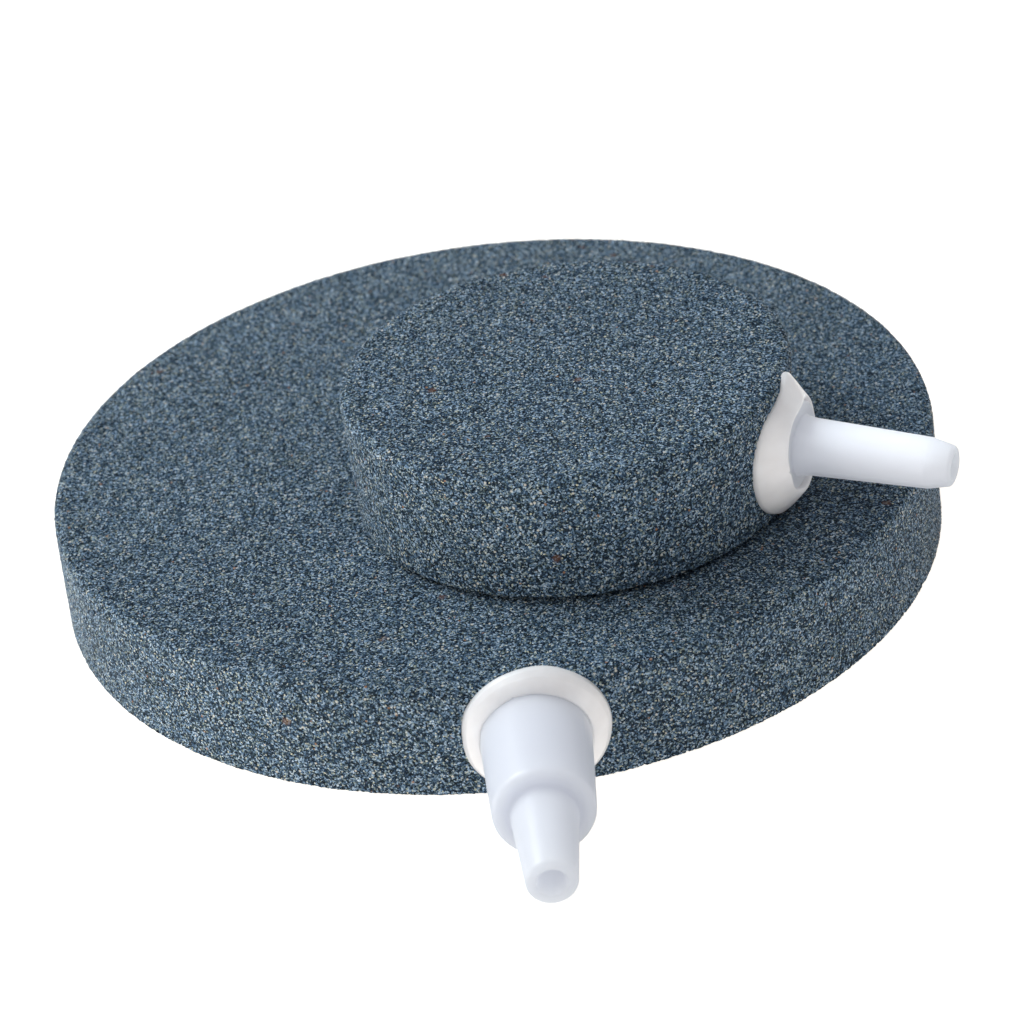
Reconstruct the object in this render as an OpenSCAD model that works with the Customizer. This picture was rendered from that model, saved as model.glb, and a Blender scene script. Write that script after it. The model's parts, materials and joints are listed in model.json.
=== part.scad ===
// Disc air stone pair for a pond or an aquarium pump.
// A small disc stone lies on top of a large one. Each stone is a pressed mineral cup with
// an air chamber inside, closed from below by a base plate that is bonded in with resin.
// Air enters through a hose nozzle, which is glued into the side wall and sealed with a bead.
// The origin is the centre of the large stone's underside, and +Z is up.

/* [Large stone] */
// Diameter of the large stone at its top edge
large_top_d = 80; // [70:0.5:100]
// Diameter of the large stone at its bottom edge
large_bottom_d = 80.8; // [79:0.1:82]
// Height of the large stone
large_h = 10.4; // [10:0.1:14]
// Radius of the round air chamber inside the large stone
large_chamber_r = 33; // [28:0.5:34]
// Number of pillars that hold up the roof of the large chamber
large_pillars = 6; // [3:1:8]

/* [Small stone] */
// Diameter of the small stone at its top edge
small_top_d = 39.5; // [38:0.5:44]
// Diameter of the small stone at its bottom edge
small_bottom_d = 37.9; // [37:0.1:40]
// Height of the small stone
small_h = 12.1; // [11:0.1:14]
// Radius of the round air chamber inside the small stone
small_chamber_r = 13.5; // [11:0.5:14]
// Sideways place of the small stone's centre on the large stone
small_x = 7.2; // [-10:0.1:10]
// Front-to-back place of the small stone's centre on the large stone
small_y = -9.7; // [-10:0.1:10]

/* [Stone walls] */
// Thickness of each base plate
plate_t = 2.8; // [2.4:0.1:3]
// Thickness of each chamber roof
roof_t = 2.8; // [2.4:0.1:3]
// Radius of the worn edges of the stones
edge_r = 0.6; // [0.4:0.1:1]
// Width of the step in each cup that the base plate sits against
seat_step = 2; // [1.5:0.1:2.5]
// Width of the resin line round each base plate
seam_w = 0.4; // [0.3:0.05:0.6]

/* [Large hose nozzle] */
// Direction from the large stone's centre to its nozzle, in degrees
large_port_angle = -89.3; // [-95:0.1:-85]
// Height of the large nozzle's axis above the underside
large_port_z = 5.8; // [5.5:0.1:6]
// How far the large nozzle leans sideways from straight out, in degrees
large_swing = -1.5; // [-5:0.5:5]
// How far the large nozzle points upwards, in degrees
large_rise = 0.3; // [0:0.1:2]
// Outer radius of the large step, for a hose with an 8 mm bore
large_step_r = 4.5; // [4:0.05:4.6]
// Distance from the wall to the shoulder of the large step
large_step_l = 11.8; // [9:0.1:14]
// Outer radius of the airline step, for a hose with a 4 mm bore
large_tube_r = 2.45; // [2.2:0.05:2.6]
// Distance from the wall to the tip of the large nozzle
large_nozzle_l = 20.7; // [19:0.1:24]

/* [Small hose nozzle] */
// Direction from the small stone's centre to its nozzle, in degrees
small_port_angle = -25; // [-60:1:0]
// Height of the small nozzle's axis above the small stone's underside
small_port_z = 6.1; // [6:0.1:6.6]
// How far the small nozzle leans sideways from straight out, in degrees
small_swing = -2.5; // [-5:0.5:5]
// How far the small nozzle droops, in degrees
small_droop = 1.5; // [0:0.5:3]
// Radius of the collar at the root of the small nozzle
small_collar_r = 3.8; // [3.4:0.1:4]
// Outer radius of the small nozzle, for a hose with a 4 mm bore
small_tube_r = 2.35; // [2.2:0.05:2.6]
// Distance from the wall to the tip of the small nozzle
small_nozzle_l = 15.4; // [14:0.1:18]

/* [Sealant] */
// Outer radius of the sealant bead on the large stone
large_bead_r = 6.2; // [5.8:0.1:6.6]
// How far the large bead's centre is lifted above the nozzle's axis
large_bead_lift = 0.3; // [0:0.1:0.5]
// How far the large bead stands out from the wall
large_bead_t = 1.3; // [1:0.1:1.5]
// Outer radius of the sealant bead on the small stone
small_bead_r = 5.8; // [5.2:0.1:5.9]
// How far the small bead stands out from the wall
small_bead_t = 2; // [1.6:0.1:2.4]

/* [Hidden] */
$fn = 96;

stone_colour = [0.29, 0.36, 0.42];
plate_colour = [0.25, 0.31, 0.36];
resin_colour = [0.75, 0.70, 0.58];
nozzle_colour = [0.85, 0.88, 0.91];
bead_colour = [0.93, 0.91, 0.90];

overcut = 1;            // cutters run past the faces they open by this much
large_bore_r = 1.1;     // air bore of the large nozzle
small_bore_r = 1.05;    // air bore of the small nozzle
recess_depth = 0.8;     // depth of the shallow recess that a nozzle's root sits in
recess_gap = 0.4;       // sealant-filled gap round the root in that recess
spigot_gap = 0.1;       // glue gap round a spigot
bead_ground_gap = 0.1;  // the large bead is trimmed level with the floor
seam_recess = 0.15;     // the resin line lies a little below the underside
pillar_gap = 0.1;       // glue gap on top of the pillars

large_root_r = large_step_r + 0.15;
large_spigot_r = 2.5;
small_spigot_r = 1.7;
large_wall_r = (large_top_d + large_bottom_d) / 4;
small_wall_r = small_bottom_d / 2 + (small_top_d - small_bottom_d) / 2 * small_port_z / small_h;

// Points along an arc, from angle a0 to angle a1
function arc(cx, cy, r, a0, a1, steps = 4) =
    [for (i = [0 : steps]) let (a = a0 + (a1 - a0) * i / steps) [cx + r * cos(a), cy + r * sin(a)]];

// Solid of revolution from points in its half plane
module turned(points) {
    rotate_extrude() polygon(points);
}

// A stone before it is hollowed out: a drafted disc with worn edges
module stone_blank(top_d, bottom_d, h) {
    turned(concat(
        [[0, 0]],
        arc(bottom_d / 2 - edge_r, edge_r, edge_r, -90, 0),
        arc(top_d / 2 - edge_r, h - edge_r, edge_r, 0, 90),
        [[0, h]]
    ));
}

// Chamber and base plate seat, cut from below
module stone_hollow(h, chamber_r) {
    cylinder(r = chamber_r, h = h - roof_t);
    translate([0, 0, -overcut]) cylinder(r = chamber_r + seat_step, h = plate_t + overcut);
}

// Base plate with pillars, which are on a ring, or in the middle if there is only one
module base_plate(h, chamber_r, pillars, pillar_r, ring_r) {
    cylinder(r = chamber_r + seat_step - seam_w, h = plate_t);
    for (i = [0 : pillars - 1])
        rotate([0, 0, 360 * i / pillars])
            translate([ring_r, 0, plate_t - overcut])
                cylinder(r = pillar_r, h = h - roof_t - plate_t - pillar_gap + overcut);
}

// Resin that fills the gap between a base plate and its seat
module seam_resin(chamber_r) {
    difference() {
        translate([0, 0, seam_recess]) cylinder(r = chamber_r + seat_step, h = plate_t - seam_recess);
        cylinder(r = chamber_r + seat_step - seam_w, h = plate_t + overcut);
    }
}

// Moves the large nozzle's parts so that their +Z axis points out of the wall
module at_large_port() {
    rotate([0, 0, large_port_angle])
        translate([large_wall_r, 0, large_port_z])
            rotate([0, 90 - large_rise, large_swing]) children();
}

// Moves the small stone's parts to their place on top of the large stone
module at_small_stone() {
    translate([small_x, small_y, large_h]) children();
}

// Moves the small nozzle's parts so that their +Z axis points out of the wall
module at_small_port() {
    at_small_stone()
        rotate([0, 0, small_port_angle])
            translate([small_wall_r, 0, small_port_z])
                rotate([0, 90 + small_droop, small_swing]) children();
}

// Hole through a side wall, with a shallow recess for the nozzle's root
module port_hole(root_r, spigot_r, depth) {
    translate([0, 0, -depth]) cylinder(r = spigot_r + spigot_gap, h = depth);
    translate([0, 0, -recess_depth]) cylinder(r = root_r + recess_gap, h = recess_depth + 3 * overcut);
}

// Bead of sealant: a low dome that rises from a thin edge to a lip round the nozzle
module bead_ring(root_r, bead_r, bead_t) {
    edge_t = 0.3;
    lip_r = 0.25;
    run = bead_r - root_r;
    turned(concat(
        [
            [root_r - overcut, -recess_depth], [bead_r, -recess_depth], [bead_r, edge_t],
            [bead_r - run * 0.33, bead_t * 0.62], [bead_r - run * 0.6, bead_t * 0.85]
        ],
        arc(root_r + lip_r, bead_t - lip_r, lip_r, 60, 90, 2),
        [[root_r - overcut, bead_t]]
    ));
}

module large_stone_cup() {
    color(stone_colour) difference() {
        stone_blank(large_top_d, large_bottom_d, large_h);
        stone_hollow(large_h, large_chamber_r);
        at_large_port() port_hole(large_root_r, large_spigot_r, large_wall_r - large_chamber_r + overcut);
    }
}

module large_base_plate() {
    color(plate_colour) base_plate(large_h, large_chamber_r, large_pillars, 2.5, large_chamber_r * 0.55);
}

module large_seam_resin() {
    color(resin_colour) seam_resin(large_chamber_r);
}

module large_hose_nozzle() {
    shoulder_r = 0.9;
    spigot_l = large_wall_r - large_chamber_r;
    color(nozzle_colour) at_large_port() difference() {
        turned(concat(
            [
                [0, -spigot_l], [large_spigot_r - 0.3, -spigot_l], [large_spigot_r, -spigot_l + 0.6],
                [large_spigot_r, -recess_depth], [large_root_r, -recess_depth],
                [large_root_r, large_bead_t], [large_step_r, large_bead_t + 0.6]
            ],
            arc(large_step_r - shoulder_r, large_step_l - shoulder_r, shoulder_r, 0, 90),
            arc(large_tube_r + 0.6, large_step_l + 0.5, 0.5, 270, 190),
            [[large_tube_r, large_step_l + 1.5], [large_tube_r, large_nozzle_l - 2]],
            arc(large_tube_r - 0.5, large_nozzle_l - 0.4, 0.4, 0, 90),
            [[0, large_nozzle_l]]
        ));
        translate([0, 0, -spigot_l - overcut])
            cylinder(r = large_bore_r, h = spigot_l + large_nozzle_l + 2 * overcut);
    }
}

module large_sealant_bead() {
    color(bead_colour) difference() {
        union() {
            difference() {
                at_large_port() translate([-large_bead_lift, 0, 0])
                    bead_ring(large_root_r, large_bead_r, large_bead_t);
                stone_blank(large_top_d, large_bottom_d, large_h);
            }
            at_large_port() translate([0, 0, -recess_depth])
                cylinder(r = large_root_r + recess_gap, h = recess_depth + large_bead_t / 2);
        }
        at_large_port() translate([0, 0, -recess_depth - overcut])
            cylinder(r = large_root_r, h = recess_depth + large_bead_t + 2 * overcut);
        translate([-large_top_d / 2, -large_top_d, bead_ground_gap - large_h])
            cube([large_top_d, large_top_d, large_h]);
    }
}

module small_stone_cup() {
    color(stone_colour) difference() {
        at_small_stone() difference() {
            stone_blank(small_top_d, small_bottom_d, small_h);
            stone_hollow(small_h, small_chamber_r);
        }
        at_small_port() port_hole(small_collar_r, small_spigot_r, small_wall_r - small_chamber_r + overcut);
    }
}

module small_base_plate() {
    color(plate_colour) at_small_stone() base_plate(small_h, small_chamber_r, 1, 2.5, 0);
}

module small_seam_resin() {
    color(resin_colour) at_small_stone() seam_resin(small_chamber_r);
}

module small_hose_nozzle() {
    collar_l = 1.45;
    spigot_l = small_wall_r - small_chamber_r;
    color(nozzle_colour) at_small_port() difference() {
        turned(concat(
            [
                [0, -spigot_l], [small_spigot_r - 0.3, -spigot_l], [small_spigot_r, -spigot_l + 0.6],
                [small_spigot_r, -recess_depth], [small_collar_r, -recess_depth], [small_collar_r, collar_l],
                [small_tube_r + 0.5, collar_l + 0.15], [small_tube_r + 0.15, small_bead_t + 1.1],
                [small_tube_r, small_bead_t + 2.1], [small_tube_r, small_nozzle_l - 4.5],
                [small_tube_r - 0.17, small_nozzle_l - 2.1]
            ],
            arc(small_tube_r - 1.05, small_nozzle_l - 0.4, 0.4, 20, 90),
            [[0, small_nozzle_l]]
        ));
        translate([0, 0, -spigot_l - overcut])
            cylinder(r = small_bore_r, h = spigot_l + small_nozzle_l + 2 * overcut);
    }
}

module small_sealant_bead() {
    color(bead_colour) difference() {
        union() {
            difference() {
                at_small_port() bead_ring(small_collar_r, small_bead_r, small_bead_t);
                at_small_stone() stone_blank(small_top_d, small_bottom_d, small_h);
            }
            at_small_port() translate([0, 0, -recess_depth])
                cylinder(r = small_collar_r + recess_gap, h = recess_depth + small_bead_t / 2);
        }
        at_small_port() translate([0, 0, -recess_depth - overcut])
            cylinder(r = small_collar_r, h = recess_depth + small_bead_t + 2 * overcut);
    }
}

large_stone_cup();
large_base_plate();
large_seam_resin();
large_hose_nozzle();
large_sealant_bead();
small_stone_cup();
small_base_plate();
small_seam_resin();
small_hose_nozzle();
small_sealant_bead();
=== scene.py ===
"""Looks for a pair of disc air stones: a small one lying on a large one.

Each stone is a hollow cup of blue-grey grit, closed from below by a bonded base plate. A moulded
hose nozzle is glued into its side wall behind a bead of white sealant. Sizes and places come
from the frame. Lengths are in millimetres and become metres when a mesh is made. Only the camera,
the lamps and the textures that follow an object's own coordinates are in metres.
"""
import json
import math

import bmesh
import bpy
import numpy as np
from mathutils import Matrix, Vector


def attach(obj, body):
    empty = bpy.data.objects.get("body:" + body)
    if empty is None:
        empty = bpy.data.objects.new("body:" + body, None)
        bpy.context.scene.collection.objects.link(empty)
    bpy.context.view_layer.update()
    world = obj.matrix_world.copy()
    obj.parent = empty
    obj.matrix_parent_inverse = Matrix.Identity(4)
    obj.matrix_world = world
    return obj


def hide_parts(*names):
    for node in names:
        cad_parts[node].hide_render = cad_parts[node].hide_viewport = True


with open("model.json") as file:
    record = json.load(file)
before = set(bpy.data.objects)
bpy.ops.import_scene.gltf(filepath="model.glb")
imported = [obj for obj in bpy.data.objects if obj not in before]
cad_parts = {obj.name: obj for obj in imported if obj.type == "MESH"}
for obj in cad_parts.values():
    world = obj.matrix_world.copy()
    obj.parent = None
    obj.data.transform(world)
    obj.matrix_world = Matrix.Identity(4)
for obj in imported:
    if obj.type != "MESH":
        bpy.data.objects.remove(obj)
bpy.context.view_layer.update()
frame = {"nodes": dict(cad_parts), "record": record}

MM = 0.001
TAU = 2 * math.pi
SAME = 0.01              # heights and radii closer than this are the same
ON_AXIS = 1e-6           # an outline's point with a smaller radius than this lies on the axis
STRAIGHT = 0.01          # a corner that bends by fewer radians than this is left as it is
ROUND_SHARE = 0.49       # the most of a stretch that the rounding of one of its ends may take

# Grit
GRAIN = 0.14             # size of a grain
FINE_GRAIN = GRAIN * 0.55    # size of the finer grit between the grains
LUMP = GRAIN * 2.1       # size of the few bigger grains
SPECK_SPACING = 6.5      # distance between rusty specks
PORE_SPACING = 1.1       # distance between pores
PORE_R = 0.16            # radius of a pore, as a share of that distance
CLUMP = 0.9              # width of the wider unevenness
OUTER_STEP = 0.16        # distance between mesh points on surfaces that show
UNDER_STEP = OUTER_STEP * 1.5    # the same on undersides
INNER_STEP = 0.45        # the same on surfaces inside the stone
JITTER = 0.28            # how far mesh points stray, as a share of the step
EDGE_R = 0.75            # radius of the worn top edges
EDGE_CUT = 0.29          # how far in the middle of a worn edge lies, as a share of its radius
PLATE_EDGE = 0.3         # bevel of the base plates and their pillars
GRAIN_RELIEF = 0.13      # how much lower the lowest grains lie than the highest
CLUMP_RELIEF = 0.10      # height of the wider unevenness
PORE_DEPTH = 0.12        # depth of the pores
STONE_SEED = 11

# Height and width of the bevel round each stone's underside
FOOT = {"large": (0.12, 0.3), "small": (0.50, 1.5)}

# Inside of the stones
SEAT_STEP = 2.0          # width of the step that a base plate sits against
PILLAR_GAP = 0.1         # glue gap on top of the pillars
PILLAR_SPAN = 6.0        # points on pillar tops that are closer than this belong to one pillar
HOLE_GAP = 0.1           # gap round a spigot in its hole
CUTTER_OUT = 3           # how far the tool that cuts the hole starts outside the wall
CUTTER_IN = 1            # how far it goes on into the chamber
SEAM_OVERLAP = 0.15      # how far the resin covers the stone on either side of the seam
SEAM_BELLY = 0.16        # how far the resin's middle hangs below its sides
SEAM_LOWEST = 0.03       # the resin never comes closer to the ground than this
SEAM_COLUMNS = 900       # mesh points round a seam

# Nozzles and sealant
BORE_R = 1.1             # air bore of the large nozzle
SMALL_BORE_R = 1.05      # air bore of the small nozzle
SPIGOT_R = 2.5           # radius of the large nozzle's spigot in the wall
SMALL_SPIGOT_R = 1.7     # radius of the small nozzle's spigot in the wall
COLLAR_R = 3.8           # radius of the small nozzle's collar
ROOT_STEP = 0.15         # how much wider the large nozzle's root is than its wide step
SHOULDER = 0.9           # length of the rounding at the end of the large step
ROOT_DEPTH = 0.8         # how deep the nozzles' roots and the sealant sit in the wall
ROOT_GAP = 0.4           # width of the sealant-filled gap round a root
MOULD_LINE = 0.03        # height of the mould lines
MOULD_LINE_AT = 28       # angle of the first mould line, in degrees. The other is opposite
MOULD_LINE_W = 0.022     # width of the mould lines, in radians
NOZZLE_COLUMNS = 200     # mesh points round a nozzle
BEAD_ROWS = 30           # mesh points across a bead
BEAD_COLUMNS = 320       # mesh points round a bead
BEAD_ROUNDING = 0.12     # radius that softens the corners of a bead's section
BEAD_BACK = 0.3          # how deep the back of a bead lies in the grit


# ---------------------------------------------------------------- measuring the frame

def node_points(node):
    """Corner points of a CAD node's mesh, in millimetres."""
    mesh = frame["nodes"][node].data
    co = np.zeros(len(mesh.vertices) * 3)
    mesh.vertices.foreach_get("co", co)
    return co.reshape(-1, 3) / MM


def mount(name):
    """Place, direction, radius and length of a pin mount, in millimetres."""
    found = next(m for m in frame["record"]["mounts"] if m["name"] == name)
    dims = found["dims"]
    return np.array(found["pos_m"]) / MM, np.array(found["axis"]), dims["r_mm"], dims["length_mm"]


class Stone:
    """The sizes of one stone, read from its CAD nodes."""

    def __init__(self, prefix):
        cup, plate = node_points(prefix + "_stone_cup"), node_points(prefix + "_base_plate")
        seam = node_points(prefix + "_seam_resin")
        self.prefix = prefix
        self.centre = (plate[:, :2].min(0) + plate[:, :2].max(0)) / 2
        self.floor, self.top = cup[:, 2].min(), cup[:, 2].max()
        self.height = self.top - self.floor
        reach = np.hypot(*(cup[:, :2] - self.centre).T)
        high = cup[:, 2] > self.top - self.height / 3
        self.top_r, self.bottom_r = reach[high].max(), reach[~high].max()
        plate_reach = np.hypot(*(plate[:, :2] - self.centre).T)
        self.plate_r = plate_reach.max()
        self.seat_r = np.hypot(*(seam[:, :2] - self.centre).T).max()
        self.plate_t = plate[plate_reach > self.plate_r - SAME][:, 2].max() - self.floor
        self.pillar_top = plate[:, 2].max() - self.floor
        self.seam_low = seam[:, 2].min() - self.floor
        self.roof = self.pillar_top + PILLAR_GAP
        self.chamber_r = self.seat_r - SEAT_STEP
        self.pillars = []
        tops = plate[plate[:, 2] > plate[:, 2].max() - SAME][:, :2] - self.centre
        while len(tops):
            near = np.hypot(*(tops - tops[0]).T) < PILLAR_SPAN
            middle = (tops[near].min(0) + tops[near].max(0)) / 2
            self.pillars.append((middle, np.hypot(*(tops[near] - middle).T).max()))
            tops = tops[~near]

    def wall_r(self, height):
        """Radius of the side wall at a height above the underside."""
        return self.bottom_r + (self.top_r - self.bottom_r) * height / self.height

    def place(self, points):
        """Points in the stone's own frame, moved to where it lies."""
        return points + np.array([*self.centre, self.floor])


# ---------------------------------------------------------------- mesh helpers

def make_object(name, points, faces, material):
    """A smooth-shaded mesh object from points in millimetres."""
    mesh = bpy.data.meshes.new(name)
    mesh.from_pydata((np.asarray(points) * MM).tolist(), [], np.asarray(faces).tolist())
    mesh.update()
    mesh.shade_smooth()
    mesh.materials.append(material)
    made = bpy.data.objects.new(name, mesh)
    bpy.context.scene.collection.objects.link(made)
    return made


def apply_modifiers(made):
    """Replaces an object's mesh by what its modifiers make of it."""
    bpy.context.view_layer.update()
    graph = bpy.context.evaluated_depsgraph_get()
    mesh = bpy.data.meshes.new_from_object(made.evaluated_get(graph), depsgraph=graph)
    made.modifiers.clear()
    old, made.data = made.data, mesh
    bpy.data.meshes.remove(old)


def combine(made, other, operation):
    """Joins another closed mesh to a piece, or cuts it away, and removes that other mesh."""
    step = made.modifiers.new("combine", "BOOLEAN")
    step.operation, step.solver, step.object = operation, "MANIFOLD", other
    apply_modifiers(made)
    bpy.data.meshes.remove(other.data)


def walk(corners, steps):
    """Points along an outline of (radius, height) corners, spaced by each stretch's own step."""
    points, spacings = [], []
    for (start, end), step in zip(zip(corners, corners[1:]), steps):
        start, end = np.array(start, float), np.array(end, float)
        count = max(1, round(np.linalg.norm(end - start) / step))
        for i in range(count):
            points.append(start + (end - start) * i / count)
            spacings.append(step)
    points.append(np.array(corners[-1], float))
    spacings.append(steps[-1])
    return points, spacings


def stitch(first, second, first_turn, second_turn):
    """Triangles that join two rings of points, which start at angles given in turns."""
    n, m = len(first), len(second)
    first_turns = first_turn + np.arange(1, n + 1) / n
    second_turns = second_turn + np.arange(1, m + 1) / m
    turns = np.concatenate([first_turns, second_turns])
    on_first = np.arange(n + m) < n
    order = np.argsort(turns, kind="stable")
    on_first = on_first[order]
    i = np.cumsum(on_first) - on_first
    j = np.cumsum(~on_first) - ~on_first
    a, a_next = first[i % n], first[(i + 1) % n]
    b, b_next = second[j % m], second[(j + 1) % m]
    faces = np.where(on_first[:, None], np.stack([a, b, a_next], 1), np.stack([a, b, b_next], 1))
    keep = np.ones(n + m, bool)
    if n == 1:
        keep &= ~on_first
    if m == 1:
        keep &= on_first
    return faces[keep]


def circle(radius, angle, height):
    """Points round the z axis, one for each angle."""
    return np.stack([radius * np.cos(angle), radius * np.sin(angle), height + 0 * angle], -1)


def ring_shell(corners, steps, rng, jitter=JITTER):
    """Closed skin of even, slightly irregular triangles, turned from an outline that starts and
    ends on the axis."""
    outline, spacings = walk(corners, steps)
    points, faces, base, before = [], [], 0, None
    for k, ((radius, height), step) in enumerate(zip(outline, spacings)):
        count = 1 if radius < ON_AXIS else max(6, round(TAU * radius / step))
        turn = rng.random() / count
        along = outline[min(k + 1, len(outline) - 1)] - outline[max(k - 1, 0)]
        along = along / np.linalg.norm(along)
        shift = (rng.random(count) - 0.5) * 2 * jitter * step if count > 1 else np.zeros(1)
        slip = (rng.random(count) - 0.5) * 2 * jitter / count if count > 1 else np.zeros(1)
        angle = TAU * (turn + np.arange(count) / count + slip)
        r, z = radius + along[0] * shift, height + along[1] * shift
        points.append(circle(r, angle, z))
        ring = base + np.arange(count)
        if before is not None:
            faces.append(stitch(before[0], ring, before[1], turn))
        before = (ring, turn)
        base += count
    return np.concatenate(points), np.concatenate(faces)


def rounded(corners, steps=6):
    """Points of an outline of (x, y, radius) corners, each rounded to its radius in some steps."""
    points = []
    count = len(corners)
    for k, (x, y, radius) in enumerate(corners):
        here = np.array([x, y], float)
        if radius <= 0 or k in (0, count - 1):
            points.append(here)
            continue
        into, out = here - np.array(corners[k - 1][:2]), np.array(corners[k + 1][:2]) - here
        in_l, out_l = np.linalg.norm(into), np.linalg.norm(out)
        into, out = into / in_l, out / out_l
        bend = math.acos(np.clip(into @ out, -1, 1))
        if bend < STRAIGHT:
            points.append(here)
            continue
        back = min(radius * math.tan(bend / 2), in_l * ROUND_SHARE, out_l * ROUND_SHARE)
        start, end = here - into * back, here + out * back
        for t in np.linspace(0, 1, steps + 1):
            points.append((1 - t) ** 2 * start + 2 * t * (1 - t) * here + t * t * end)
    return np.array(points)


def grid_faces(rows, columns):
    """Quads of a grid of points that closes on itself both ways, like the skin of a ring."""
    row = np.arange(rows)[:, None]
    column = np.arange(columns)[None, :]
    after, beside = (row + 1) % rows, (column + 1) % columns
    here, there = row * columns, after * columns
    corners = [here + column, here + beside, there + beside, there + column]
    return np.stack([corner.ravel() for corner in np.broadcast_arrays(*corners)], 1)


def tidy_normals(made):
    """Turns every face of a small closed mesh outwards."""
    work = bmesh.new()
    work.from_mesh(made.data)
    bmesh.ops.recalc_face_normals(work, faces=work.faces)
    work.to_mesh(made.data)
    work.free()


def ripple(angle, waves, rng):
    """Smooth uneven curve round a ring: a sum of waves, each given as (how many, how high)."""
    return sum(high * np.sin(many * angle + TAU * rng.random()) for many, high in waves)


def turned_from(angle, degrees):
    """Angles counted from a direction in degrees, between half a turn back and half a turn on."""
    return (angle - math.radians(degrees) + math.pi) % TAU - math.pi


def hump(angle, degrees, width):
    """Smooth hump of height 1 round an angle in degrees, where the width is in radians."""
    return np.exp(-(turned_from(angle, degrees) / width) ** 2)


class Port:
    """Where a nozzle's axis leaves a stone's wall. x is sideways, y is up and z is out of the wall."""

    def __init__(self, stone, mount_name, nozzle_node):
        place, direction, self.land_r, _ = mount(mount_name)
        flat = place[:2] - stone.centre
        self.wall_r = stone.wall_r(place[2] - stone.floor)
        run = direction[:2] @ direction[:2]
        slope = flat @ direction[:2]
        back = (slope - math.sqrt(slope ** 2 - run * (flat @ flat - self.wall_r ** 2))) / run
        self.origin = place - back * direction
        self.nozzle_axes = self.axes(direction)
        self.wall_axes = self.axes(np.array([*(self.origin[:2] - stone.centre), 0.0]))
        reach = (node_points(nozzle_node) - self.origin) @ direction
        self.inner_end, self.tip = reach.min(), reach.max()

    @staticmethod
    def axes(direction):
        """The sideways, upward and outward axes for a direction, as columns."""
        out = direction / np.linalg.norm(direction)
        side = np.cross([0, 0, 1], out)
        side /= np.linalg.norm(side)
        return np.stack([side, np.cross(out, side), out], 1)

    def put(self, points):
        """Points in the nozzle's own frame, moved to where the nozzle is."""
        return points @ self.nozzle_axes.T + self.origin

    def wall(self, sideways):
        """How far the curved wall lies behind the port's origin."""
        return np.sqrt(self.wall_r ** 2 - sideways ** 2) - self.wall_r


# ---------------------------------------------------------------- materials

def new_material(name):
    """A node material with its Principled node."""
    material = bpy.data.materials.new(name)
    material.use_nodes = True
    tree = material.node_tree
    return material, tree, next(n for n in tree.nodes if n.type == "BSDF_PRINCIPLED")


def add(tree, kind, inputs=None, **settings):
    """A node with its settings and inputs, each of which is a value or another node's output."""
    made = tree.nodes.new(kind)
    for key, value in settings.items():
        setattr(made, key, value)
    for key, value in (inputs or {}).items():
        if isinstance(value, bpy.types.NodeSocket):
            tree.links.new(value, made.inputs[key])
        else:
            made.inputs[key].default_value = value
    return made


def maths(tree, operation, *values):
    """Output of a Math node."""
    return add(tree, "ShaderNodeMath", dict(enumerate(values)), operation=operation).outputs[0]


def noise(tree, place, scale, detail=2.0):
    """Output of a Noise Texture."""
    inputs = {"Vector": place, "Scale": scale, "Detail": detail}
    return add(tree, "ShaderNodeTexNoise", inputs).outputs[0]


def ramp(tree, factor, stops):
    """Output of a Color Ramp with stops of (place, colour)."""
    made = add(tree, "ShaderNodeValToRGB", {0: factor})
    for k, (place, colour) in enumerate(stops):
        stop = made.color_ramp.elements[k] if k < 2 else made.color_ramp.elements.new(place)
        stop.position, stop.color = place, (*colour, 1)
    return made.outputs[0]


def mix(tree, factor, a, b, blend="MIX"):
    """Colour output of a Mix node."""
    made = tree.nodes.new("ShaderNodeMix")
    made.data_type, made.blend_type = "RGBA", blend
    for index, value in ((0, factor), (6, a), (7, b)):
        if isinstance(value, bpy.types.NodeSocket):
            tree.links.new(value, made.inputs[index])
        else:
            made.inputs[index].default_value = value if index == 0 else (*value, 1)
    return made.outputs[2]


def cells_of(tree, place, size):
    """Voronoi cells of a size. The grit's relief and its colours both use this, so they agree."""
    return add(tree, "ShaderNodeTexVoronoi", {"Vector": place, "Scale": 1 / size},
               voronoi_dimensions="3D", feature="F1")


def cell_draws(tree, cells):
    """Three random numbers from 0 to 1 for each cell."""
    return add(tree, "ShaderNodeSeparateColor", {0: cells.outputs["Color"]}).outputs


def grey(value):
    """A colour without a hue."""
    return (value, value, value)


def bumps(tree, shader, height, strength, distance):
    """Small bumps on a shader's surface, where the distance is in metres."""
    made = add(tree, "ShaderNodeBump", {"Height": height, "Strength": strength, "Distance": distance})
    tree.links.new(made.outputs[0], shader.inputs["Normal"])


def set_inputs(shader, values):
    """Sets inputs of a shader by name."""
    for key, value in values.items():
        shader.inputs[key].default_value = value


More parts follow.
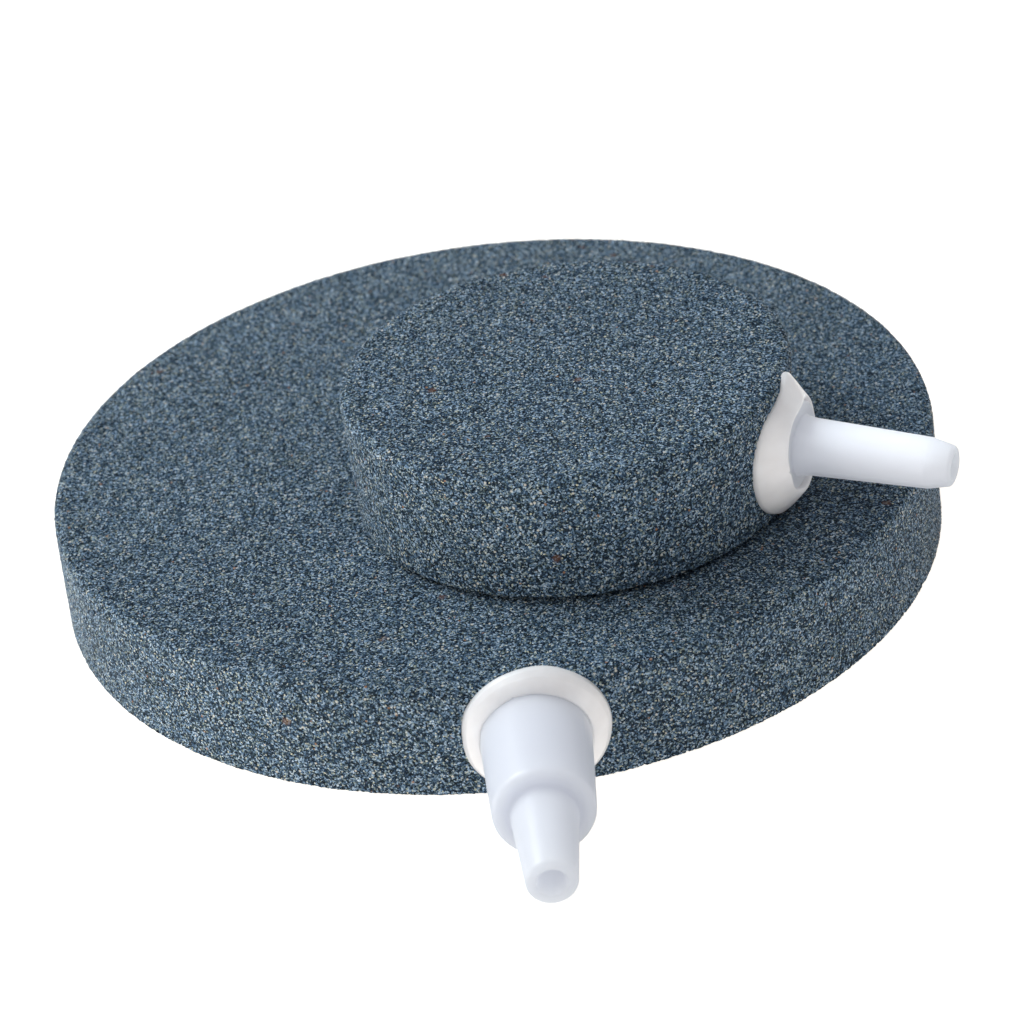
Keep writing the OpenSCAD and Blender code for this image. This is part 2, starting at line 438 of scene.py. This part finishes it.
def stone_material(name, shade=1.0):
    """Grit of near black to pale grains, bluish to olive, with pale, brown and rusty specks.

    Sizes are in millimetres, as grit_place is.
    """
    material, tree, shader = new_material(name)
    place = add(tree, "ShaderNodeAttribute", attribute_name="grit_place").outputs["Vector"]
    cells = cells_of(tree, place, GRAIN)
    draws = cell_draws(tree, cells)
    fine = cells_of(tree, place, FINE_GRAIN)
    fine_share = maths(tree, "MULTIPLY", cell_draws(tree, fine)[0], 0.25)
    grains = ramp(tree, maths(tree, "MULTIPLY_ADD", draws[0], 0.75, fine_share), [
        (0.00, (0.002, 0.004, 0.007)),
        (0.30, (0.006, 0.012, 0.020)),
        (0.50, (0.020, 0.038, 0.062)),
        (0.64, (0.060, 0.100, 0.145)),
        (0.78, (0.145, 0.200, 0.252)),
        (0.90, (0.300, 0.352, 0.395)),
        (1.00, (0.540, 0.560, 0.560)),
    ])
    hue = ramp(tree, draws[1], [
        (0.00, (1.12, 1.28, 1.50)),
        (0.50, (1.22, 1.28, 1.36)),
        (0.80, (1.40, 1.30, 1.12)),
        (1.00, (1.62, 1.36, 0.90)),
    ])
    coloured = mix(tree, 1.0, grains, hue, "MULTIPLY")

    lumps = cells_of(tree, place, LUMP)
    lump_draws = cell_draws(tree, lumps)
    lump_core = ramp(tree, lumps.outputs["Distance"], [(0.34, grey(0.75)), (0.46, grey(0))])
    pale = ramp(tree, lump_draws[0], [(0.972, grey(0)), (0.976, grey(1))])
    coloured = mix(tree, maths(tree, "MULTIPLY", pale, lump_core), coloured, (0.56, 0.54, 0.49))
    brown = ramp(tree, lump_draws[1], [(0.005, grey(1)), (0.006, grey(0))])
    coloured = mix(tree, maths(tree, "MULTIPLY", brown, lump_core), coloured, (0.30, 0.15, 0.07))

    patches = maths(tree, "MULTIPLY_ADD", noise(tree, place, 0.09, 3.0), 0.34, 0.83 * shade)
    coloured = mix(tree, 1.0, coloured, patches, "MULTIPLY")
    specks = cells_of(tree, place, SPECK_SPACING).outputs["Distance"]
    ragged = maths(tree, "MULTIPLY_ADD", noise(tree, place, 2.2), 0.12, specks)
    rusty = ramp(tree, ragged, [(0.10, grey(1)), (0.135, grey(0))])
    coloured = mix(tree, maths(tree, "MULTIPLY", rusty, 0.7), coloured, (0.10, 0.045, 0.025))
    tree.links.new(coloured, shader.inputs["Base Color"])

    glint = ramp(tree, draws[2], [(0.86, grey(0.85)), (0.90, grey(0.32))])
    tree.links.new(glint, shader.inputs["Roughness"])
    set_inputs(shader, {"Specular IOR Level": 0.12})
    fine_height = maths(tree, "MULTIPLY", fine.outputs["Distance"], -0.4)
    height = maths(tree, "MULTIPLY_ADD", cells.outputs["Distance"], -0.6, fine_height)
    bumps(tree, shader, height, 0.55, 0.00012)
    return material


def plastic_material(name):
    """Milky moulded plastic that light soaks into, with faint flow marks.

    Its own faint glow stands in for the light that comes right through it.
    """
    material, tree, shader = new_material(name)
    place = add(tree, "ShaderNodeTexCoord").outputs["Object"]
    cloud = noise(tree, place, 180.0, 1.0)
    colour = ramp(tree, cloud, [(0.2, (0.590, 0.604, 0.668)), (0.8, (0.610, 0.624, 0.688))])
    tree.links.new(colour, shader.inputs["Base Color"])
    rough = ramp(tree, cloud, [(0.2, grey(0.29)), (0.8, grey(0.33))])
    tree.links.new(rough, shader.inputs["Roughness"])
    set_inputs(shader, {
        "Emission Color": (0.92, 0.95, 1.0, 1),
        "Emission Strength": 0.15,
        "Subsurface Weight": 1.0,
        "Subsurface Radius": (1.0, 1.0, 1.0),
        "Subsurface Scale": 0.006,
        "Specular IOR Level": 0.35,
    })
    bumps(tree, shader, noise(tree, place, 900.0), 0.10, 0.00005)
    return material


def sealant_material(name):
    """Cured white sealant: glossy, warm, with faint stains."""
    material, tree, shader = new_material(name)
    place = add(tree, "ShaderNodeTexCoord").outputs["Object"]
    stain = noise(tree, place, 330.0, 4.0)
    colour = ramp(tree, stain, [(0.30, (0.78, 0.76, 0.77)), (0.62, (0.86, 0.845, 0.86))])
    tree.links.new(colour, shader.inputs["Base Color"])
    set_inputs(shader, {
        "Subsurface Weight": 0.7,
        "Subsurface Radius": (1.0, 0.95, 0.9),
        "Subsurface Scale": 0.002,
        "Roughness": 0.28,
    })
    bumps(tree, shader, noise(tree, place, 900.0, 3.0), 0.25, 0.00008)
    return material


def resin_material(name):
    """Amber-grey cured resin."""
    material, tree, shader = new_material(name)
    place = add(tree, "ShaderNodeTexCoord").outputs["Object"]
    cloud = noise(tree, place, 420.0, 4.0)
    colour = ramp(tree, cloud, [(0.3, (0.36, 0.30, 0.21)), (0.7, (0.56, 0.50, 0.40))])
    tree.links.new(colour, shader.inputs["Base Color"])
    set_inputs(shader, {"Roughness": 0.42, "Subsurface Weight": 0.2, "Subsurface Scale": 0.0005})
    bumps(tree, shader, cloud, 0.4, 0.0001)
    return material


# ---------------------------------------------------------------- grit relief

def grit_nodes():
    """Geometry nodes that sink each grain by its own amount below the smooth surface."""
    tree = bpy.data.node_groups.new("grit_relief", "GeometryNodeTree")
    tree.interface.new_socket("Geometry", in_out="INPUT", socket_type="NodeSocketGeometry")
    tree.interface.new_socket("Geometry", in_out="OUTPUT", socket_type="NodeSocketGeometry")
    come, go = tree.nodes.new("NodeGroupInput"), tree.nodes.new("NodeGroupOutput")
    place = add(tree, "GeometryNodeInputNamedAttribute", {"Name": "grit_place"},
                data_type="FLOAT_VECTOR").outputs[0]
    cells = cells_of(tree, place, GRAIN)
    draws = add(tree, "FunctionNodeSeparateColor", {0: cells.outputs["Color"]}).outputs
    depth = maths(tree, "MULTIPLY", draws[1], -0.5 * GRAIN_RELIEF)
    dome = maths(tree, "MULTIPLY_ADD", cells.outputs["Distance"], -0.5 * GRAIN_RELIEF, depth)
    clump = maths(tree, "SUBTRACT", noise(tree, place, 1 / CLUMP), 0.75)
    sunk = maths(tree, "MULTIPLY_ADD", clump, CLUMP_RELIEF, dome)
    pores = maths(tree, "LESS_THAN", cells_of(tree, place, PORE_SPACING).outputs["Distance"], PORE_R)
    pits = maths(tree, "MULTIPLY", pores, -PORE_DEPTH)
    total = maths(tree, "MULTIPLY", maths(tree, "ADD", sunk, pits), MM)
    normal = add(tree, "GeometryNodeInputNormal").outputs[0]
    offset = add(tree, "ShaderNodeVectorMath", {0: normal, "Scale": total}, operation="SCALE")
    moved = add(tree, "GeometryNodeSetPosition", {"Offset": offset.outputs[0]})
    tree.links.new(come.outputs[0], moved.inputs["Geometry"])
    tree.links.new(moved.outputs[0], go.inputs[0])
    return tree


def roughen(made, relief):
    """Gives a stone piece its grit: keeps the smooth places for the colours, then sinks the grains."""
    mesh = made.data
    co = np.zeros(len(mesh.vertices) * 3, np.float32)
    mesh.vertices.foreach_get("co", co)
    mesh.attributes.new("grit_place", "FLOAT_VECTOR", "POINT").data.foreach_set("vector", co / MM)
    made.modifiers.new("grit", "NODES").node_group = relief
    apply_modifiers(made)


# ---------------------------------------------------------------- pieces

def stone_cup(stone, port, spigot_r, root_r, material, relief, rng):
    """Cup of grit: top, side wall, seat for the base plate, air chamber and the nozzle's hole."""
    top, seat, roof, chamber = stone.height, stone.seat_r, stone.roof, stone.chamber_r
    cut = EDGE_R * EDGE_CUT
    edge = [(stone.top_r - EDGE_R, top), (stone.top_r - cut, top - cut), (stone.top_r, top - EDGE_R)]
    foot_h, foot_w = FOOT[stone.prefix]
    foot = [(stone.bottom_r, foot_h), (stone.bottom_r - foot_w, 0)]
    inside = [(seat, 0), (seat, stone.plate_t), (chamber, stone.plate_t), (chamber, roof), (0, roof)]
    corners = [(0, top), *edge, *foot, *inside]
    steps = [OUTER_STEP] * 5 + [UNDER_STEP] + [INNER_STEP] * 4
    points, faces = ring_shell(corners, steps, rng)
    made = make_object(stone.prefix + "_stone_cup_grit", stone.place(points), faces, material)
    hole_r, recess_r = spigot_r + HOLE_GAP, root_r + ROOT_GAP
    depth = port.wall_r - chamber + CUTTER_IN
    recess = [(0, CUTTER_OUT), (recess_r, CUTTER_OUT), (recess_r, -ROOT_DEPTH)]
    hole = [(hole_r, -ROOT_DEPTH), (hole_r, -depth), (0, -depth)]
    points, faces = ring_shell(recess + hole, [INNER_STEP] * 5, rng, jitter=0)
    combine(made, make_object("port_cutter", port.put(points), faces, material), "DIFFERENCE")
    roughen(made, relief)
    return made


def base_plate(stone, material, relief, rng):
    """Round plate of grit that closes the chamber, with pillars that hold up the roof."""
    rim, thick, top = stone.plate_r, stone.plate_t, stone.pillar_top
    corners = [(0, thick), (rim, thick), (rim, PLATE_EDGE), (rim - PLATE_EDGE, 0), (0, 0)]
    points, faces = ring_shell(corners, [INNER_STEP, INNER_STEP, UNDER_STEP, UNDER_STEP], rng)
    made = make_object(stone.prefix + "_base_plate_grit", stone.place(points), faces, material)
    root = thick - PLATE_EDGE
    for middle, side in stone.pillars:
        end = [(0, top), (side - PLATE_EDGE, top), (side, top - PLATE_EDGE)]
        corners = [*end, (side, root), (0, root)]
        points, faces = ring_shell(corners, [INNER_STEP] * 4, rng)
        pillar = make_object("pillar", stone.place(points + np.array([*middle, 0])), faces, material)
        combine(made, pillar, "UNION")
    roughen(made, relief)
    return made


def seam_resin(stone, material, rng):
    """Resin squeezed out round the base plate, lower in some places than in others."""
    angle = TAU * np.arange(SEAM_COLUMNS) / SEAM_COLUMNS
    inner, outer = stone.plate_r - SEAM_OVERLAP, stone.seat_r + SEAM_OVERLAP
    low = stone.seam_low + ripple(angle, [(3, 0.02), (8, 0.02), (21, 0.02), (47, 0.012)], rng)
    low = np.maximum(low, SEAM_LOWEST)
    across = np.linspace(0, 1, 9)[:, None]
    radius = inner + (outer - inner) * across + ripple(angle, [(5, 0.02), (13, 0.02)], rng)
    belly = low + SEAM_BELLY * (2 * across - 1) ** 2
    rows = [(radius[0], stone.plate_t), *zip(radius, belly), (radius[-1], stone.plate_t)]
    points = np.concatenate([circle(r, angle, z) for r, z in rows])
    faces = grid_faces(len(rows), SEAM_COLUMNS)
    made = make_object(stone.prefix + "_seam_resin_squeezed", stone.place(points), faces, material)
    tidy_normals(made)
    return made


def nozzle(name, port, corners, material, rng):
    """Moulded nozzle turned about its port's axis, a little out of round, with two mould lines."""
    outline = rounded(corners + corners[:1])[:-1]
    angle = TAU * np.arange(NOZZLE_COLUMNS) / NOZZLE_COLUMNS
    radius, out = outline[:, 0][:, None], outline[:, 1][:, None]
    shows = (radius > BORE_R + 0.5) & (out > 0)
    line = hump(angle, MOULD_LINE_AT, MOULD_LINE_W) + hump(angle, MOULD_LINE_AT + 180, MOULD_LINE_W)
    uneven = 1 + ripple(angle, [(2, 0.004), (3, 0.002)], rng)
    radius = radius * np.where(radius > BORE_R + 0.2, uneven, 1) + shows * MOULD_LINE * line
    local = circle(radius, angle, out).reshape(-1, 3)
    faces = grid_faces(len(outline), NOZZLE_COLUMNS)
    made = make_object(name, port.put(local), faces, material)
    tidy_normals(made)
    return made


def large_nozzle_outline(port, step_r, step_end):
    """Corners of the large nozzle: spigot, root, wide step and airline step."""
    start, tip, tube_r = port.inner_end, port.tip, port.land_r
    return [
        (BORE_R, start, 0.1), (SPIGOT_R - 0.3, start, 0.1), (SPIGOT_R, start + 0.6, 0.2),
        (SPIGOT_R, -ROOT_DEPTH, 0), (step_r + ROOT_STEP, -ROOT_DEPTH, 0.1), (step_r + 0.12, 1.2, 0.6),
        (step_r - 0.30, step_end, 1.2), (tube_r + 0.32, step_end + 0.05, 0.5),
        (tube_r + 0.22, step_end + 1.1, 1.0), (tube_r - 0.35, tip, 0.42),
        (BORE_R + 0.12, tip, 0.2), (BORE_R, tip - 0.7, 0.3),
    ]


def small_nozzle_outline(port):
    """Corners of the small nozzle: spigot, collar and airline tube with a rounded nose."""
    start, tip, tube_r = port.inner_end, port.tip, port.land_r
    return [
        (SMALL_BORE_R, start, 0.1), (SMALL_SPIGOT_R - 0.3, start, 0.1),
        (SMALL_SPIGOT_R, start + 0.6, 0.2), (SMALL_SPIGOT_R, -ROOT_DEPTH, 0),
        (COLLAR_R, -ROOT_DEPTH, 0.1), (COLLAR_R, 1.45, 0.2),
        (tube_r + 0.30, 1.52, 0.2), (tube_r + 0.14, 2.6, 0.6), (tube_r - 0.16, tip - 2.2, 0.7),
        (tube_r - 0.60, tip - 0.2, 0.45), (SMALL_BORE_R + 0.12, tip, 0.2),
        (SMALL_BORE_R, tip - 0.6, 0.3),
    ]


def bead(name, port, inner_r, reach, section, material, rng, swells=(), pits=(), gap=None):
    """Bead of sealant round a nozzle, shaped over the curved wall.

    inner_r is the nozzle's radius, and reach is how far the bead comes sideways, up and down.
    section is a list of (share of the way from the outer edge to the nozzle, height above the wall).
    swells are places where the outer edge bulges out: (degrees, width in radians, how far).
    pits are (degrees, share of the way, size, depth).
    gap is where the bead stands off the nozzle: (degrees, width in radians, how far).
    """
    sideways, up, down = reach
    angle = TAU * np.arange(BEAD_COLUMNS) / BEAD_COLUMNS
    cos, sin = np.cos(angle), np.sin(angle)
    rise = np.where(sin > 0, up, down)
    fullness = np.where(sin > 0, 2.0, 2.3)
    outer = (np.abs(cos / sideways) ** fullness + np.abs(sin / rise) ** fullness) ** (-1 / fullness)
    outer = outer * (1 + ripple(angle, [(2, 0.006), (3, 0.010), (5, 0.006), (9, 0.003)], rng))
    for degrees, width, far in swells:
        outer = outer + far * hump(angle, degrees, width)
    inner = inner_r + 0 * angle
    if gap is not None:
        degrees, width, far = gap
        inner = inner + far * hump(angle, degrees, width)

    share, height = rounded([(a, b, BEAD_ROUNDING) for a, b in section], 3).T
    keep = np.concatenate([[True], np.hypot(np.diff(share), np.diff(height)) > 1e-4])
    share, height = share[keep], height[keep]
    lengths = np.hypot(np.diff(share) * (sideways - inner_r), np.diff(height))
    way = np.concatenate([[0], np.cumsum(lengths)])
    even = np.linspace(0, 1, BEAD_ROWS)
    share, height = np.interp(even, way / way[-1], share), np.interp(even, way / way[-1], height)

    radius = outer + (inner - outer) * share[:, None]
    uneven = 1 + ripple(angle, [(1, 0.05), (2, 0.05), (4, 0.04), (7, 0.02)], rng)
    mottle = ripple(angle, [(6, 0.012), (13, 0.008)], rng) * np.sin(math.pi * share)[:, None]
    lift = height[:, None] * uneven + mottle
    for degrees, at, size, depth in pits:
        across = (share[:, None] - at) * (sideways - inner_r)
        along = turned_from(angle, degrees) * radius
        lift = lift - depth * np.exp(-((across ** 2 + along ** 2) / size ** 2))

    rows = [(radius[k], port.wall(radius[k] * cos) + lift[k]) for k in range(BEAD_ROWS)]
    lip = rows[-1][1]
    for part in np.linspace(0.25, 1, 4):
        rows.append((inner, lip * (1 - part) - ROOT_DEPTH * part))
    for part in np.linspace(0.25, 1, 4):
        behind = inner + (outer * 0.985 - inner) * part
        rise_back = min(1, part * 2)
        deep = -ROOT_DEPTH + (ROOT_DEPTH - BEAD_BACK) * rise_back
        rows.append((behind, port.wall(behind * cos) * rise_back + deep))
    local = np.concatenate([circle(r, angle, z) for r, z in rows])
    faces = grid_faces(len(rows), BEAD_COLUMNS)
    made = make_object(name, local @ port.wall_axes.T + port.origin, faces, material)
    tidy_normals(made)
    return made


def finish_piece(made, body, node):
    """Puts a piece on its body, in its CAD node's place."""
    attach(made, body)
    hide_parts(node)


# ---------------------------------------------------------------- the object

rng = np.random.default_rng(STONE_SEED)
stones = {"large": Stone("large"), "small": Stone("small")}
grit = stone_material("blue_grey_grit")
plate_grit = stone_material("pressed_grit", 0.9)
plastic = plastic_material("milky_plastic")
sealant = sealant_material("white_sealant")
resin = resin_material("cured_resin")
relief = grit_nodes()

large_port = Port(stones["large"], "large_airline_step", "large_hose_nozzle")
small_port = Port(stones["small"], "small_airline_tube", "small_hose_nozzle")
step_place, step_axis, step_r, step_length = mount("large_hose_step")
step_end = (step_place - large_port.origin) @ step_axis + step_length / 2 + SHOULDER
large_cup = stone_cup(stones["large"], large_port, SPIGOT_R, step_r + ROOT_STEP, grit, relief, rng)
small_cup = stone_cup(stones["small"], small_port, SMALL_SPIGOT_R, COLLAR_R, grit, relief, rng)
large_outline = large_nozzle_outline(large_port, step_r, step_end)
large_pipe = nozzle("large_hose_nozzle_moulded", large_port, large_outline, plastic, rng)
small_outline = small_nozzle_outline(small_port)
small_pipe = nozzle("small_hose_nozzle_moulded", small_port, small_outline, plastic, rng)
large_seal = bead(
    "large_sealant_bead_smoothed", large_port, inner_r=4.56, reach=(6.15, 6.10, 5.6),
    section=[(0, -0.1), (0.03, 0.32), (0.24, 0.84), (0.50, 1.14), (0.90, 1.58), (1, 1.50)],
    material=sealant, rng=rng, swells=[(0, 0.8, 0.2), (180, 0.8, -0.2)],
    pits=[(108, 0.95, 0.11, 0.22), (152, 0.96, 0.09, 0.20)])
small_seal = bead(
    "small_sealant_bead_smoothed", small_port, inner_r=3.80, reach=(6.0, 5.45, 5.9),
    section=[(0, -0.1), (0.03, 0.26), (0.32, 0.90), (0.68, 1.55), (0.90, 1.93), (1, 1.72)],
    material=sealant, rng=rng, swells=[(72, 0.25, 0.75), (112, 0.35, -0.45), (0, 0.8, -0.7)],
    pits=[(186, 0.93, 0.12, 0.30)], gap=(58, 0.35, 0.13))
shown = {"large": (large_cup, large_pipe, large_seal), "small": (small_cup, small_pipe, small_seal)}

for prefix, stone in stones.items():
    cup, pipe, seal = shown[prefix]
    body = prefix + "_stone"
    finish_piece(cup, body, prefix + "_stone_cup")
    finish_piece(pipe, body, prefix + "_hose_nozzle")
    finish_piece(seal, body, prefix + "_sealant_bead")
    finish_piece(base_plate(stone, plate_grit, relief, rng), body, prefix + "_base_plate")
    finish_piece(seam_resin(stone, resin, rng), body, prefix + "_seam_resin")


# ---------------------------------------------------------------- stage, light and camera

TABLE_HALF = 3000        # half of the table's width, in millimetres
ELEVATION = 31.52        # how far above the table the camera looks from, in degrees
ROLL = 7.55              # how far it is turned about its own axis, in degrees
DISTANCE = 7.85          # how far away it is, in radii of the large stone
AIM = (0.0287, 0.0979)   # where it looks on the table, in the same radii
FOCUS = (0.007, -0.024, 0.014)    # the place that is sharpest, in metres
SENSOR = 36              # width of the camera's sensor, in millimetres
LENS = 119.7             # its focal length, in millimetres
F_STOP = 66


def floor():
    """Plain pale table that glows a little, so that it shows as white."""
    material, tree, shader = new_material("pale_table")
    place = add(tree, "ShaderNodeTexCoord").outputs["Object"]
    colour = ramp(tree, noise(tree, place, 14.0), [(0.3, grey(0.68)), (0.7, grey(0.70))])
    tree.links.new(colour, shader.inputs["Base Color"])
    glow = (1, 0.94, 0.86, 1)
    set_inputs(shader, {"Roughness": 0.7, "Emission Color": glow, "Emission Strength": 0.95})
    corners = [(-1, -1, 0), (1, -1, 0), (1, 1, 0), (-1, 1, 0)]
    made = make_object("table", np.array(corners) * TABLE_HALF, [(0, 1, 2, 3)], material)
    return made


def area_light(name, place, size, power, colour=(1, 1, 1)):
    """A square lamp that faces the object."""
    lamp = bpy.data.lights.new(name, "AREA")
    lamp.shape, lamp.size, lamp.energy, lamp.color = "SQUARE", size, power, colour
    made = bpy.data.objects.new(name, lamp)
    made.location = place
    made.rotation_euler = (-Vector(place)).to_track_quat("-Z", "Y").to_euler()
    bpy.context.scene.collection.objects.link(made)
    return made


def spare(source, pieces):
    """Keeps the light of a lamp or a glowing surface off some pieces."""
    spared = bpy.data.collections.new("spared")
    for piece in pieces:
        spared.objects.link(piece)
    source.light_linking.receiver_collection = spared
    for entry in spared.collection_objects:
        entry.light_linking.link_state = "EXCLUDE"


def camera():
    """Long lens, looking down at the pair from in front, turned a little about its own axis."""
    radius = stones["large"].top_r * MM
    elevation, roll = math.radians(ELEVATION), math.radians(ROLL)
    aim = np.array([*AIM, 0]) * radius
    eye = np.array([0, -math.cos(elevation), math.sin(elevation)]) * (DISTANCE * radius)
    ahead = (aim - eye) / np.linalg.norm(aim - eye)
    level = np.cross(ahead, [0, 0, 1])
    level /= np.linalg.norm(level)
    down = np.cross(ahead, level)
    right = math.cos(roll) * level + math.sin(roll) * down
    up = math.sin(roll) * level - math.cos(roll) * down
    focus = bpy.data.objects.new("focus_point", None)
    focus.location = FOCUS
    bpy.context.scene.collection.objects.link(focus)
    data = bpy.data.cameras.new("camera")
    data.sensor_width, data.lens = SENSOR, LENS
    data.clip_start, data.clip_end = 0.01, 20
    data.dof.use_dof, data.dof.focus_object, data.dof.aperture_fstop = True, focus, F_STOP
    made = bpy.data.objects.new("camera", data)
    axes = np.column_stack([right, up, -ahead, eye])
    made.matrix_world = Matrix(np.vstack([axes, [0, 0, 0, 1]]).tolist())
    bpy.context.scene.collection.objects.link(made)
    bpy.context.scene.camera = made


def world_light(strength):
    """Even light from all round, as in a white tent."""
    world = bpy.data.worlds.new("tent")
    world.use_nodes = True
    back = next(n for n in world.node_tree.nodes if n.type == "BACKGROUND")
    set_inputs(back, {"Color": (0.97, 0.985, 1.0, 1), "Strength": strength})
    bpy.context.scene.world = world


table = floor()
world_light(0.50)
area_light("key", (-0.45, 0.28, 0.55), 0.40, 4.1, (0.88, 0.96, 1.0))
fill = area_light("fill", (-0.78, -0.18, 0.18), 0.45, 4.4, (1.0, 0.93, 0.82))
area_light("strip", (-0.37, -0.37, 0.73), 0.34, 0.9)
spare(table, [large_pipe, small_pipe])
spare(fill, [large_pipe, large_seal, small_seal])
camera()
bpy.context.scene.view_settings.view_transform = "Standard"
